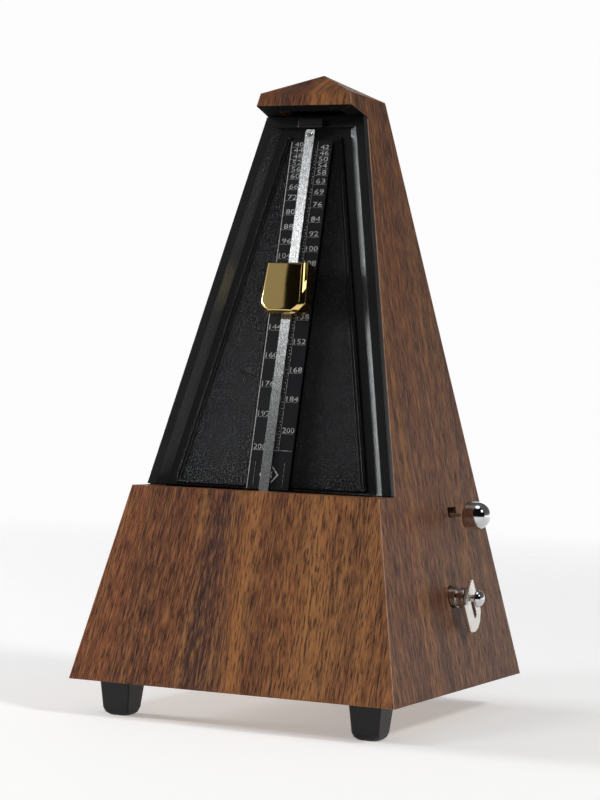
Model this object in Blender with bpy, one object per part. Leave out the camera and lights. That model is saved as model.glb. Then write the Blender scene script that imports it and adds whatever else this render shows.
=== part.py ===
"""Wind-up metronome in a four-sided tapered wooden case.

+Z is up and -Y is the front.  The origin is on the ground under the middle
of the bounding box, so the case axis stands SHIFT_X to the side of it, to
allow for the knob and key on the right-hand side.  All sizes below are in
millimetres; put() turns them into metres.

Three frames are used:
  case  - an empty on the case axis at the height of the wooden underside
  face  - an empty on the front lower edge, leaning back with the front face:
          x across, y into the case (square to the face), z up the slope
"""
import math

import bmesh
import bpy
from mathutils import Vector

for old in list(bpy.data.objects):
    bpy.data.objects.remove(old, do_unlink=True)

MM = 0.001

# ---- overall case ---------------------------------------------------------
BASE_W, BASE_D = 116.0, 118.3      # wooden outline at the bottom
EAVE_W, EAVE_D = 33.3, 30.5        # outline where the roof starts
EAVE_Z, ROOF_RISE = 197.6, 7.8
LEDGE_Z = 64.2                     # top of the lower front board
HEADER_H = 4.4                     # height of the short board under the roof
BOARD = 6.0                        # board thickness
GAP = 0.3                          # seam between touching pieces
RECESS = BOARD + 4.06              # groove floor behind the front, as deep as the board needs
FOOT_H, FOOT_TOP, FOOT_LOW = 12.0, 11.2, 9.0
FOOT_IN = 13.2                     # foot centre inside the wooden edge

# ---- scale and pendulum (face frame) --------------------------------------
LIP = 3.4                          # flat rim of the black frame
SLOPE_END = 6.3                    # inner foot of the rim's slope
CHANNEL_END = 9.2                  # outer edge of the grained panel
CHANNEL_DEPTH = 2.2
PANEL_SINK = 1.1
POCKET_DROP = 4.4                  # top bar of the frame, below the header
PANEL_DROP, STRIP_DROP = 7.2, 8.6  # panel and strip tops, below the header
ROD_DROP = 5.8                     # rod top, below the header
STRIP_HALF = 7.7
PIVOT_S = 54.0                     # verge axis, up the slope
ROD_HALF, ROD_T, ROD_PROUD = 1.83, 1.0, 2.16
ROD_TAIL = 41.2                    # rod below the verge axis
WEIGHT_TOP, WEIGHT_H, WEIGHT_FOOT = 144.2, 17.5, 3.5
WEIGHT_HALF_TOP, WEIGHT_HALF, WEIGHT_HALF_LOW = 7.65, 8.4, 5.3
WEIGHT_PROUD = 5.7                 # weight's front before the rod's front
BOB_IN, BOB_OUT, BOB_HALF_ANGLE = 20.0, 41.5, 25.0
BOB_T = 11.8
WHEEL_D = 37.0                     # escape wheel axis, depth along the verge

# ---- movement -------------------------------------------------------------
PLATE_X, PLATE_T = 22.0, 1.6       # inner faces of the plates at +-PLATE_X
ARBOR = 1.1
BORE = 1.3
WIND_Y, WIND_Z = 4.5, 30.3         # winding arbor
GREAT_TEETH, GREAT_MOD = 40, 0.75
SECOND_PINION = 8
SECOND_TEETH, SECOND_MOD = 40, 0.55
ESCAPE_PINION, BEAT_PINION = 10, 8
ESCAPE_TEETH = 15
BEAT_ANGLE = -16.8                 # direction of the beat arbor from the second
PLATE_RISE = 8.0                   # top of the plates above the verge axis
HAMMER_Y = 26.0
GONG_X, GONG_Y, GONG_R = -2.0, 0.0, 20.0

# ---- selector and key -----------------------------------------------------
SEL_Y, SEL_Z = 17.1, 57.2
KNOB_R = 4.7
KNOB_OUT = 4.97                    # knob's near face beyond the wood
KEY_HOLE_R, BOSS_R = 3.8, 3.4
KEY_OUT, KEY_PLATE_T = 5.44, 1.3   # key plate beyond the wood
CAP_OUT = 4.7                      # end of the domed cap beyond the plate

APEX_Z = EAVE_Z + ROOF_RISE
HEADER_Z = EAVE_Z - HEADER_H
ROD_FRONT = RECESS - ROD_PROUD
ROD_BACK = ROD_FRONT + ROD_T
ROD_LOW = PIVOT_S - ROD_TAIL
WEIGHT_LOW = WEIGHT_TOP - WEIGHT_H
WEIGHT_WIDE = WEIGHT_LOW + WEIGHT_FOOT
WEIGHT_FRONT, WEIGHT_BACK = ROD_FRONT - WEIGHT_PROUD, ROD_BACK + 0.1
BOB_FRONT = ROD_BACK + GAP
BOB_BACK = BOB_FRONT + BOB_T
FLOOR_D = RECESS + CHANNEL_DEPTH     # floor of the frame's sunk channel
RIM_BACK = FLOOR_D + 0.45            # back of the frame's rim, over the side boards

KX = (BASE_W - EAVE_W) / 2 / EAVE_Z
KY = (BASE_D - EAVE_D) / 2 / EAVE_Z
TILT = math.atan(KY)
SIDE = math.atan(KX)
SF, CF = math.sin(TILT), math.cos(TILT)
BX = BOARD / math.cos(SIDE)        # side board measured level
BY = BOARD / CF                    # front and back board measured level
HEADER_S = HEADER_Z / CF
PANEL_TOP = HEADER_S - PANEL_DROP
STRIP_TOP = HEADER_S - STRIP_DROP
ROD_TOP = HEADER_S - ROD_DROP

WOOD = ((0.27, 0.13, 0.07), 0.45, 0.0)
BLACK = ((0.03, 0.03, 0.032), 0.45, 0.0)
RUBBER = ((0.02, 0.02, 0.022), 0.7, 0.0)
PANEL = ((0.035, 0.035, 0.037), 0.55, 0.0)
STEEL = ((0.62, 0.62, 0.60), 0.28, 1.0)
NICKEL = ((0.66, 0.63, 0.58), 0.35, 1.0)
CHROME = ((0.80, 0.80, 0.80), 0.08, 1.0)
BRASS = ((0.78, 0.57, 0.22), 0.30, 1.0)
GOLD = ((0.90, 0.66, 0.25), 0.15, 1.0)
IRON = ((0.28, 0.28, 0.29), 0.6, 1.0)
BLUED = ((0.10, 0.12, 0.20), 0.3, 1.0)


def hx(z):
    return BASE_W / 2 - z * KX


def hy(z):
    return BASE_D / 2 - z * KY


KNOB_X = hx(SEL_Z) + KNOB_OUT
KEY_PLATE_X = hx(WIND_Z) + KEY_OUT
SHIFT_X = (BASE_W / 2 - (KEY_PLATE_X + KEY_PLATE_T + CAP_OUT)) / 2
FOOT_X, FOOT_Y = BASE_W / 2 - FOOT_IN, BASE_D / 2 - FOOT_IN
PLATE_TOP = PIVOT_S + PLATE_RISE
HAMMER_Z = PLATE_TOP - 6.0
GONG_Z = PLATE_TOP + 4.0


def on_face(s, d):
    """(y, z) in the case frame of a point up the front face and d inside it."""
    return -BASE_D / 2 + s * SF + d * CF, s * CF - d * SF


def slope_at(z, d):
    """How far up the slope the level z lies, d inside the front face."""
    return (z + d * SF) / CF


# ---- placing --------------------------------------------------------------
def empty(name, parent=None, at=(0, 0, 0), turn=(0, 0, 0)):
    o = bpy.data.objects.new(name, None)
    bpy.context.scene.collection.objects.link(o)
    o.parent = parent
    o.location = Vector(at) * MM
    o.rotation_euler = turn
    o.empty_display_size = 0.01
    return o


case = empty("case_frame", at=(SHIFT_X, 0, FOOT_H))
face = empty("face_frame", case, at=(0, -BASE_D / 2, 0), turn=(-TILT, 0, 0))


def put(name, bm, look, parent, at=(0, 0, 0), smooth=False, helper=False):
    """Make the mesh an object whose origin is at `at` in its parent's frame."""
    bmesh.ops.remove_doubles(bm, verts=bm.verts, dist=1e-5)
    bmesh.ops.recalc_face_normals(bm, faces=bm.faces)
    bmesh.ops.translate(bm, vec=-Vector(at), verts=bm.verts)
    bmesh.ops.scale(bm, vec=(MM, MM, MM), verts=bm.verts)
    mesh = bpy.data.meshes.new(name)
    bm.to_mesh(mesh)
    bm.free()
    if smooth:
        mesh.shade_smooth()
        mesh.set_sharp_from_angle(angle=math.radians(35))
    o = bpy.data.objects.new(name, mesh)
    bpy.context.scene.collection.objects.link(o)
    o.parent = parent
    o.location = Vector(at) * MM
    if helper:
        o.hide_render = True
        o.display_type = "WIRE"
        return o
    mat = bpy.data.materials.new(name)
    mat.use_nodes = True
    p = mat.node_tree.nodes["Principled BSDF"]
    p.inputs["Base Color"].default_value = (*look[0], 1)
    p.inputs["Roughness"].default_value = look[1]
    p.inputs["Metallic"].default_value = look[2]
    mesh.materials.append(mat)
    return o


def cut(target, *cutters):
    for c in cutters:
        c.hide_render = True
        c.display_type = "WIRE"
        m = target.modifiers.new(c.name, "BOOLEAN")
        m.operation = "DIFFERENCE"
        m.solver = "EXACT"
        m.object = c


# ---- shapes ---------------------------------------------------------------
def stack(loops):
    """Closed body through matching loops; a loop of one point is a tip."""
    bm = bmesh.new()
    rows = [[bm.verts.new(p) for p in loop] for loop in loops]
    for a, b in zip(rows, rows[1:]):
        n = max(len(a), len(b))
        for i in range(n):
            j = (i + 1) % n
            if len(a) == 1:
                bm.faces.new((a[0], b[i], b[j]))
            elif len(b) == 1:
                bm.faces.new((a[i], b[0], a[j]))
            else:
                bm.faces.new((a[i], b[i], b[j], a[j]))
    for row in (rows[0], rows[-1]):
        if len(row) > 2:
            bm.faces.new(row)
    return bm


def ring(loops):
    """Closed body of revolution-like loops that meet themselves."""
    bm = bmesh.new()
    rows = [[bm.verts.new(p) for p in loop] for loop in loops]
    for a, b in zip(rows, rows[1:] + rows[:1]):
        n = len(a)
        for i in range(n):
            j = (i + 1) % n
            bm.faces.new((a[i], b[i], b[j], a[j]))
    return bm


def box(x0, x1, y0, y1, z0, z1):
    return stack([[(x0, y0, z), (x1, y0, z), (x1, y1, z), (x0, y1, z)]
                  for z in (z0, z1)])


def along_x(poly, x0, x1):
    return stack([[(x, y, z) for y, z in poly] for x in (x0, x1)])


def along_y(poly, y0, y1):
    return stack([[(x, y, z) for x, z in poly] for y in (y0, y1)])


def circle(axis, r, t, c, n):
    out = []
    for i in range(n):
        a = 2 * math.pi * i / n
        u, v = r * math.cos(a), r * math.sin(a)
        out.append({"X": (t, c[0] + u, c[1] + v), "Y": (c[0] + u, t, c[1] + v),
                    "Z": (c[0] + u, c[1] + v, t)}[axis])
    return out


def turned(axis, profile, c, n=20):
    """Solid of revolution; profile is (radius, position) pairs on `axis`."""
    loops = []
    for r, t in profile:
        loops.append(circle(axis, r, t, c, n) if r > 0
                     else circle(axis, 0, t, c, n)[:1])
    return stack(loops)


def collar(axis, profile, c, n=20):
    """Ring-shaped solid of revolution with an open bore."""
    return ring([circle(axis, r, t, c, n) for r, t in profile])


# ---- toothed pieces -------------------------------------------------------
PRESSURE = math.radians(25)


def tooth_outline(teeth, mod, phase, flank=2, add=0.8, ded=1.15, slack=0.16):
    """Outline of an involute wheel; phase is the angle of one tooth's middle."""
    rp = teeth * mod / 2
    rb = rp * math.cos(PRESSURE)
    ra, rf = rp + add * mod, rp - ded * mod
    lo = max(rb, rf)
    half = math.pi / (2 * teeth) - slack * mod / (2 * rp)
    inv = math.tan(PRESSURE) - PRESSURE
    side = []
    for k in range(flank):
        r = lo + (ra - lo) * k / (flank - 1)
        a = math.acos(min(1.0, rb / r))
        side.append((r, half + inv - (math.tan(a) - a)))
    if lo > rf + 0.05:
        side.insert(0, (rf, side[0][1]))
    pts = []
    for t in range(teeth):
        mid = phase + 2 * math.pi * t / teeth
        pts += [(r, mid - a) for r, a in side]
        pts += [(r, mid + a) for r, a in reversed(side)]
    return pts


def matched(phase, teeth, direction, other):
    """Phase for a wheel of `other` teeth, in mesh along `direction`."""
    f = ((direction - phase) * teeth / (2 * math.pi)) % 1
    return direction + math.pi - (0.5 - f) * 2 * math.pi / other


def polar_x(pts, c, x, radius=None):
    return [(x, c[0] + (radius or r) * math.cos(a), c[1] + (radius or r) * math.sin(a))
            for r, a in pts]


def toothed_wheel(pts, c, x0, x1, bore):
    return ring([polar_x(pts, c, x0), polar_x(pts, c, x1),
                 polar_x(pts, c, x1, bore), polar_x(pts, c, x0, bore)])


def pinion_arbor(pts, c, x0, x1, lo, hi):
    """Arbor from lo to hi with pinion leaves between x0 and x1."""
    e = 0.02
    return stack([polar_x(pts, c, lo, ARBOR), polar_x(pts, c, x0, ARBOR),
                  polar_x(pts, c, x0 + e), polar_x(pts, c, x1),
                  polar_x(pts, c, x1 + e, ARBOR), polar_x(pts, c, hi, ARBOR)])


# ===========================================================================
# Case
# ===========================================================================
def side_board(sign):
    g = GAP / 2
    top = EAVE_Z - GAP
    back = RIM_BACK + GAP                  # behind the frame's rim
    yh, zh = on_face(HEADER_Z / CF, back)
    outer = [(-hy(0) + g, 0), (hy(0) - g, 0), (hy(top) - g, top),
             (-hy(top) + g, top), (-hy(HEADER_Z) + g, HEADER_Z), (yh, zh),
             (on_face(slope_at(LEDGE_Z, back), back)[0], LEDGE_Z),
             (-hy(LEDGE_Z) + g, LEDGE_Z)]
    yi, zi = on_face(HEADER_Z / CF, BOARD)
    inner = [(-hy(0) + BY + g, 0), (hy(0) - BY - g, 0), (hy(top) - BY - g, top),
             (-hy(top) + BY + g, top), (yi + g, zi), (yh, zh),
             (on_face(slope_at(LEDGE_Z, back), back)[0], LEDGE_Z),
             (-hy(LEDGE_Z) + BY + g, LEDGE_Z)]
    return stack([[(sign * hx(z), y, z) for y, z in outer],
                  [(sign * (hx(z) - BX), y, z) for y, z in inner]])


left_board = put("left_board", side_board(-1), WOOD, case)
right_board = put("right_board", side_board(1), WOOD, case)
cut(right_board,
    put("slot_cutter", box(hx(SEL_Z) - 16, hx(SEL_Z) + 14, SEL_Y - 4.0, SEL_Y + 4.0, SEL_Z - 1.0, SEL_Z + 2.4),
        None, case, helper=True),
    put("keyhole_cutter", turned("X", [(KEY_HOLE_R, hx(WIND_Z) - 16),
                                       (KEY_HOLE_R, hx(WIND_Z) + 14)],
                                 (WIND_Y, WIND_Z), 24), None, case, helper=True))


def cross_board(sign, z0, z1, under=None):
    """Front (sign -1) or back (+1) board between two levels, mitred ends."""
    g = GAP / 2
    inner_low = z0 if under is None else under

    def corner(z, zin, s):
        return ((s * (hx(z) - g), sign * hy(z), z),
                (s * (hx(zin) - BX - g), sign * (hy(zin) - BY), zin))
    a, ai = corner(z0, inner_low, -1)
    b, bi = corner(z0, inner_low, 1)
    c, ci = corner(z1, z1, 1)
    d, di = corner(z1, z1, -1)
    return stack([[a, b, c, d], [ai, bi, ci, di]])


put("back_board", cross_board(1, 0, EAVE_Z - GAP), WOOD, case)
put("front_board", cross_board(-1, 0, LEDGE_Z), WOOD, case)
put("front_header", cross_board(-1, HEADER_Z, EAVE_Z - GAP,
                                under=HEADER_Z - BOARD * SF), WOOD, case)

roof_in = (EAVE_W / 2 - BX - 0.6, EAVE_D / 2 - BY - 0.6)


def rect(a, b, z):
    return [(-a, -b, z), (a, -b, z), (a, b, z), (-a, b, z)]


put("roof_cap", stack([rect(roof_in[0], roof_in[1], EAVE_Z - 4.2),
                       rect(roof_in[0], roof_in[1], EAVE_Z),
                       rect(EAVE_W / 2, EAVE_D / 2, EAVE_Z), [(0, 0, APEX_Z)]]),
    WOOD, case)

base_board = put("base_board", stack([
    rect(hx(0) - BX - GAP, hy(0) - BY - GAP, 0),
    rect(hx(BOARD) - BX - GAP, hy(BOARD) - BY - GAP, BOARD)]), WOOD, case)

# Feet: tapered square blocks with rounded lower corners, each on a screw.
feet = (("foot_front_left", -FOOT_X, -FOOT_Y), ("foot_front_right", FOOT_X, -FOOT_Y),
        ("foot_rear", 0, FOOT_Y))


def octagon(a, c, z, x, y):
    """Square of half-side a with its corners taken off by c."""
    return [(x + u, y + v, z) for u, v in (
        (-a, -a + c), (-a + c, -a), (a - c, -a), (a, -a + c),
        (a, a - c), (a - c, a), (-a + c, a), (-a, a - c))]


screw_holes = []
for name, x, y in feet:
    t, l = FOOT_TOP / 2, FOOT_LOW / 2
    foot = put(name, stack([
        octagon(t, 0.3, -GAP, x, y), octagon(l + 0.25, 0.5, -9.6, x, y),
        octagon(l - 0.1, 1.3, -11.2, x, y), octagon(l - 1.0, 1.6, -FOOT_H, x, y)]),
        RUBBER, case, at=(x, y, 0))
    tag = name[5:]
    cut(foot, put("well_" + tag, turned("Z", [(2.6, -14), (2.6, -5.5), (1.4, -5.5),
                                              (1.4, 2)], (x, y), 20),
                  None, case, helper=True))
    put("screw_" + tag, turned("Z", [(0, -8.0), (1.2, -8.0), (2.2, -7.2), (2.2, -5.9),
                                     (1.1, -5.9), (1.1, 4.2), (0, 5.0)], (x, y), 16),
        STEEL, case, at=(x, y, -5.9), smooth=True)
    screw_holes.append(put("pilot_" + tag, turned("Z", [(1.35, -3), (1.35, BOARD - 0.6)],
                                                  (x, y), 16), None, case, helper=True))
mount_screws = ((-PLATE_X + 6, 26.0), (PLATE_X - 6, 26.0))
for i, (x, y) in enumerate(mount_screws):
    screw_holes.append(put("mount_hole_%d" % i, turned("Z", [
        (3.3, -1), (3.3, 1.6), (1.35, 3.4), (1.35, BOARD + 1)], (x, y), 16), None, case, helper=True))
cut(base_board, *screw_holes)

# ===========================================================================
# Scale
# ===========================================================================
def edge_x(s, d):
    """Half width of the case at a point on or behind the front face."""
    return hx(s * CF - d * SF)


def face_plate(inset, d0, d1, level, top):
    """Plate on the sloping face from a level cut up to `top`, sides along the case's."""
    loops = []
    for d in (d0, d1):
        low = slope_at(level, d)
        a, b = edge_x(low, d) - inset, edge_x(top, d) - inset
        loops.append([(-a, d, low), (a, d, low), (b, d, top), (-b, d, top)])
    return stack(loops)


frame_low = LEDGE_Z + GAP


def frame_block():
    """Rim over the side boards' edges, with a deeper middle between them."""
    rows = []
    for top in (False, True):
        prof = []
        for x_in, d in ((0.0, RECESS), (0.0, RIM_BACK), (BX + 0.6, RIM_BACK),
                        (BX + 0.6, FLOOR_D + 1.4)):
            sv = HEADER_S - GAP if top else slope_at(frame_low, d)
            prof.append((edge_x(sv, d) - x_in, d, sv))
        rows.append(prof + [(-x, d, sv) for x, d, sv in reversed(prof)])
    return stack(rows)


scale_frame = put("scale_frame", frame_block(), BLACK, face)


def pocket_block():
    """Sunk field of the frame: sloping sides, open at the bottom end."""
    rows = []
    for s, lean in ((40.0, 0.0), (HEADER_S - POCKET_DROP, 0.6)):
        row = []
        for x_in, d, out in ((LIP - 1.32, RECESS - 1, lean), (SLOPE_END, FLOOR_D, 0.0)):
            row.append((edge_x(s, d) - x_in, d, s + out))
        rows.append(row + [(-x, d, sv) for x, d, sv in reversed(row)])
    return stack(rows)


cut(scale_frame, put("pocket_cutter", pocket_block(), None, face, helper=True))

put("scale_panel", face_plate(CHANNEL_END, RECESS + PANEL_SINK,
                              RECESS + CHANNEL_DEPTH - GAP, frame_low, PANEL_TOP),
    PANEL, face)


def strip_block():
    d0, d1 = RECESS + 0.3, RECESS + PANEL_SINK - GAP
    rows = []
    for d in (d0, d1):
        lo = slope_at(frame_low, d)
        rows.append([(-STRIP_HALF, d, lo), (STRIP_HALF, d, lo),
                     (STRIP_HALF, d, STRIP_TOP), (-STRIP_HALF, d, STRIP_TOP)])
    return stack(rows)


put("number_strip", strip_block(), BLACK, face)
put("rod_catch", box(-4.6, 4.6, RECESS - 2.86, RECESS - GAP, HEADER_S - 5.2, HEADER_S - 2.0),
    BLACK, face)

# ===========================================================================
# Pendulum: rod, hub, verge and lower bob
# ===========================================================================
swing = (0, ROD_BACK, PIVOT_S)
put("pendulum_rod", box(-ROD_HALF, ROD_HALF, ROD_FRONT, ROD_BACK, ROD_LOW, ROD_TOP),
    STEEL, face, at=swing)
put("rod_hub", turned("Y", [(2.4, 7.0), (2.4, ROD_FRONT - 0.1)], (0, PIVOT_S), 16),
    STEEL, face, at=swing, smooth=True)

PALLET = ((WHEEL_D - 8.9, 48.0), (WHEEL_D + 8.9, -48.0))


def verge():
    prof = [(3.4, ROD_BACK + 0.2), (3.4, ROD_BACK + 1.2), (ARBOR, ROD_BACK + 1.2),
            (ARBOR, WHEEL_D + 13.8)]
    return turned("Y", prof, (0, PIVOT_S), 16)


verge_arbor = put("verge_arbor", verge(), STEEL, face, at=swing)
for i, (d, lean) in enumerate(PALLET):
    a = math.radians(lean)
    u, v = (math.cos(a), math.sin(a)), (-math.sin(a), math.cos(a))
    quad = [(p * u[0] + q * v[0], PIVOT_S + p * u[1] + q * v[1])
            for p, q in ((0.2, -0.35), (3.0, -0.35), (3.0, 0.35), (0.2, 0.35))]
    pallet = put("pallet_blank_%d" % i, along_y(quad, d - 1.6, d + 1.6), None, face,
                 at=swing, helper=True)
    m = verge_arbor.modifiers.new("pallet_%d" % i, "BOOLEAN")
    m.operation, m.solver, m.object = "UNION", "EXACT", pallet


def bob():
    n = 8
    pts = []
    for r, rev in ((BOB_OUT, 1), (BOB_IN, -1)):
        for i in range(n + 1):
            a = math.radians(-90 + rev * BOB_HALF_ANGLE * (2 * i / n - 1))
            pts.append((r * math.cos(a), PIVOT_S + r * math.sin(a)))
    return along_y(pts, BOB_FRONT, BOB_BACK)


put("lower_bob", bob(), IRON, face, at=swing)
put("bob_rivet", turned("Y", [(2.2, 6.9), (2.2, ROD_FRONT - 0.1)], (0, PIVOT_S - 31.0), 16),
    STEEL, face, at=swing)

# ===========================================================================
# Sliding weight
# ===========================================================================
slider = (0, ROD_BACK, WEIGHT_TOP)


def weight_outline(inset, wall=0.0):
    top, mid, low = WEIGHT_HALF_TOP, WEIGHT_HALF, WEIGHT_HALF_LOW
    right = [(low - inset * 0.8, WEIGHT_LOW + wall), (mid - inset, WEIGHT_WIDE),
             (top - inset, WEIGHT_TOP - wall)]
    return right + [(-x, s) for x, s in reversed(right)]


def weight_shell():
    rows = []
    for inset, d in ((1.4, WEIGHT_FRONT), (0.0, WEIGHT_FRONT + 1.6), (0.0, WEIGHT_BACK)):
        rows.append([(x, d, s) for x, s in weight_outline(inset, inset * 0.5)])
    return stack(rows)


weight = put("tempo_weight", weight_shell(), GOLD, face, at=slider)
cut(weight,
    put("weight_cavity", along_y(weight_outline(1.6, 1.6), WEIGHT_FRONT + 2.0,
                                 WEIGHT_BACK + 2), None, face, at=slider, helper=True),
    put("weight_channel", box(-ROD_HALF - 0.35, ROD_HALF + 0.35, ROD_FRONT - 0.4,
                              WEIGHT_BACK + 2, WEIGHT_LOW - 2, WEIGHT_TOP + 2),
        None, face, at=slider, helper=True))
put("weight_back", along_y(weight_outline(0.4, 0.4), WEIGHT_BACK + GAP, WEIGHT_BACK + 0.9),
    GOLD, face, at=slider)


def leaf(x0, x1, path, t):
    """Strip of thickness t along (y, z) points, between x0 and x1."""
    left, right = [], []
    for i, p in enumerate(path):
        a = Vector(path[max(i - 1, 0)])
        b = Vector(path[min(i + 1, len(path) - 1)])
        d = (b - a).normalized()
        n = Vector((-d.y, d.x)) * t / 2
        left.append((p[0] + n.x, p[1] + n.y))
        right.append((p[0] - n.x, p[1] - n.y))
    return along_x(left + right[::-1], x0, x1)


put("weight_spring", leaf(-1.6, 1.6, [
    (WEIGHT_FRONT + 2.55 + 2.3 * math.sin(math.pi * k / 8), WEIGHT_LOW + 2.7 + 1.5 * k)
    for k in range(9)], 0.35), STEEL, face, at=slider)

# ===========================================================================
# Movement plates, pillars and bridges
# ===========================================================================
A = (WIND_Y, WIND_Z)
C = on_face(PIVOT_S, WHEEL_D)
AB = GREAT_MOD * (GREAT_TEETH + SECOND_PINION) / 2
BC = SECOND_MOD * (SECOND_TEETH + ESCAPE_PINION) / 2
BD = SECOND_MOD * (SECOND_TEETH + BEAT_PINION) / 2
ac = Vector(C) - Vector(A)
reach = ac.length
u = (AB ** 2 - BC ** 2 + reach ** 2) / (2 * reach)
w = math.sqrt(AB ** 2 - u ** 2)
e = ac / reach
B = tuple(Vector(A) + e * u + Vector((e.y, -e.x)) * w)
D = (B[0] + BD * math.cos(math.radians(BEAT_ANGLE)),
     B[1] + BD * math.sin(math.radians(BEAT_ANGLE)))
H = (HAMMER_Y, HAMMER_Z)

plate_outline = [(-28.5, BOARD + GAP), (31.0, BOARD + GAP), (31.0, PLATE_TOP - 2),
                 (27.0, PLATE_TOP), (-22.0, PLATE_TOP), (-28.5, PLATE_TOP - 6)]
pillars = ((-23.5, BOARD + 5.5), (26.5, BOARD + 5.5), (27.0, 36.0), (-19.0, PLATE_TOP - 4))
slot = [(SEL_Y - 4.0, SEL_Z - 1.6), (SEL_Y + 4.0, SEL_Z - 1.6),
        (SEL_Y + 4.0, SEL_Z + 1.6), (SEL_Y - 4.0, SEL_Z + 1.6)]
for side, x0 in (("left", -PLATE_X - PLATE_T), ("right", PLATE_X)):
    plate = put("plate_" + side, along_x(plate_outline, x0, x0 + PLATE_T), BRASS, case)
    pivots = [("wind", A, 2.3 if side == "right" else BORE), ("second", B, BORE),
              ("beat", D, BORE), ("hammer", H, BORE)]
    if side == "right":
        pivots.append(("escape", C, BORE))
    tools = [put("%s_%s_bore" % (side, tag), turned("X", [(r, x0 - 1), (r, x0 + PLATE_T + 1)],
                                                    c, 16), None, case, helper=True)
             for tag, c, r in pivots]
    if side == "right":
        tools.append(put("plate_slot", along_x(slot, x0 - 1, x0 + PLATE_T + 1), None, case,
                         helper=True))
    cut(plate, *tools)
for i, c in enumerate(pillars):
    put("pillar_%d" % (i + 1), turned("X", [(2.4, -PLATE_X + GAP), (2.4, PLATE_X - GAP)], c, 16),
        BRASS, case, at=(0, c[0], c[1]), smooth=True)
for i, (x, y) in enumerate(mount_screws):
    put("mount_screw_%d" % (i + 1), turned("Z", [
        (0, 0.2), (2.8, 0.2), (1.1, 2.9), (1.1, BOARD + 2.4), (0, BOARD + 2.7)], (x, y), 16),
        STEEL, case, at=(x, y, 0))

front_bridge = put("verge_bridge_front", box(
    -PLATE_X + GAP, PLATE_X - GAP, 22.5, 24.1, PIVOT_S - 3.5, PIVOT_S + 3.5), BRASS, face)
rear_cock = put("verge_cock_rear", box(
    -PLATE_X + GAP, 2.7, WHEEL_D + 11.2, WHEEL_D + 12.8, PIVOT_S - 2.6, PIVOT_S + 2.6),
    BRASS, face)
cut(front_bridge, put("front_bore", turned("Y", [(BORE, 21), (BORE, 26)], (0, PIVOT_S), 16),
                      None, face, helper=True))
cut(rear_cock, put("rear_bore", turned("Y", [(BORE, WHEEL_D + 10), (BORE, WHEEL_D + 14)], (0, PIVOT_S), 16),
                   None, face, helper=True))
escape_cock = put("escape_cock", box(
    13.2, 14.6, 24.4, WHEEL_D + 3.8, PIVOT_S - 3.4, PIVOT_S + 3.4), BRASS, face)
cut(escape_cock, put("cock_bore", turned("X", [(BORE, 12), (BORE, 16)], (WHEEL_D, PIVOT_S), 16),
                     None, face, helper=True))

# ===========================================================================
# Going train
# ===========================================================================
dir_ab = math.atan2(B[1] - A[1], B[0] - A[0])
dir_bc = math.atan2(C[1] - B[1], C[0] - B[0])
dir_bd = math.atan2(D[1] - B[1], D[0] - B[0])
great = tooth_outline(GREAT_TEETH, GREAT_MOD, dir_ab)
second_leaves = tooth_outline(SECOND_PINION, GREAT_MOD,
                              matched(dir_ab, GREAT_TEETH, dir_ab, SECOND_PINION), flank=3)
second = tooth_outline(SECOND_TEETH, SECOND_MOD, dir_bc)
escape_leaves = tooth_outline(ESCAPE_PINION, SECOND_MOD,
                              matched(dir_bc, SECOND_TEETH, dir_bc, ESCAPE_PINION), flank=3)
beat_leaves = tooth_outline(BEAT_PINION, SECOND_MOD,
                            matched(dir_bc, SECOND_TEETH, dir_bd, BEAT_PINION), flank=3)

at_a, at_b = (0, *A), (0, *B)
at_c, at_d = (0, *C), (0, *D)
put("great_wheel", toothed_wheel(great, A, 15.0, 17.0, 2.4), BRASS, case, at=at_a)
put("second_arbor", pinion_arbor(second_leaves, B, 13.6, 18.4, -24.2, 24.2), STEEL, case, at=at_b)
put("second_wheel", toothed_wheel(second, B, 9.6, 11.0, ARBOR + 0.12), BRASS, case, at=at_b)
put("escape_arbor", pinion_arbor(escape_leaves, C, 8.2, 12.4, 4.9, 24.2), STEEL, case, at=at_c)
put("beat_arbor", pinion_arbor(beat_leaves, D, 8.2, 12.4, -24.2, 24.2), STEEL, case, at=at_d)


def crown():
    """Crown wheel: disc, upright rim and saw teeth pointing at the verge."""
    n = 2 * ESCAPE_TEETH

    def loop(r, x, tip=None):
        out = []
        for i in range(n):
            a = 2 * math.pi * (i // 2 + (0.8 if i % 2 else 0.0)) / ESCAPE_TEETH
            t = x if tip is None or i % 2 == 0 else tip
            out.append((t, C[0] + r * math.cos(a), C[1] + r * math.sin(a)))
        return out
    return ring([loop(9.5, 5.4, 3.4), loop(9.5, 7.6), loop(ARBOR + 0.12, 7.6),
                 loop(ARBOR + 0.12, 6.6), loop(8.3, 6.6), loop(8.3, 5.4, 3.4)])


put("escape_wheel", crown(), BRASS, case, at=at_c)

# Beat drum: four rows of lifting pins, for the four bell settings.
drum = put("beat_drum", collar("X", [(5.2, -6.5), (5.2, 7.0), (ARBOR + 0.12, 7.0),
                                     (ARBOR + 0.12, -6.5)], D, 24), BRASS, case, at=at_d)
for row, count in enumerate((4, 6, 8, 12)):
    x = -5.0 + row * 3.3
    bm = bmesh.new()
    for k in range(count):
        a = 2 * math.pi * k / count
        c, s = math.cos(a), math.sin(a)
        quad = [(4.6, -0.45), (7.0, -0.45), (7.0, 0.45), (4.6, 0.45)]
        lo = [bm.verts.new((x - 0.45, D[0] + p * c - q * s, D[1] + p * s + q * c))
              for p, q in quad]
        hi = [bm.verts.new((x + 0.45, D[0] + p * c - q * s, D[1] + p * s + q * c))
              for p, q in quad]
        bm.faces.new(lo)
        bm.faces.new(hi)
        for i in range(4):
            j = (i + 1) % 4
            bm.faces.new((lo[i], lo[j], hi[j], hi[i]))
    pins = put("pin_row_%d" % row, bm, None, case, at=at_d, helper=True)
    m = drum.modifiers.new("pins_%d" % row, "BOOLEAN")
    m.operation, m.solver, m.object = "UNION", "EXACT", pins

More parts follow.
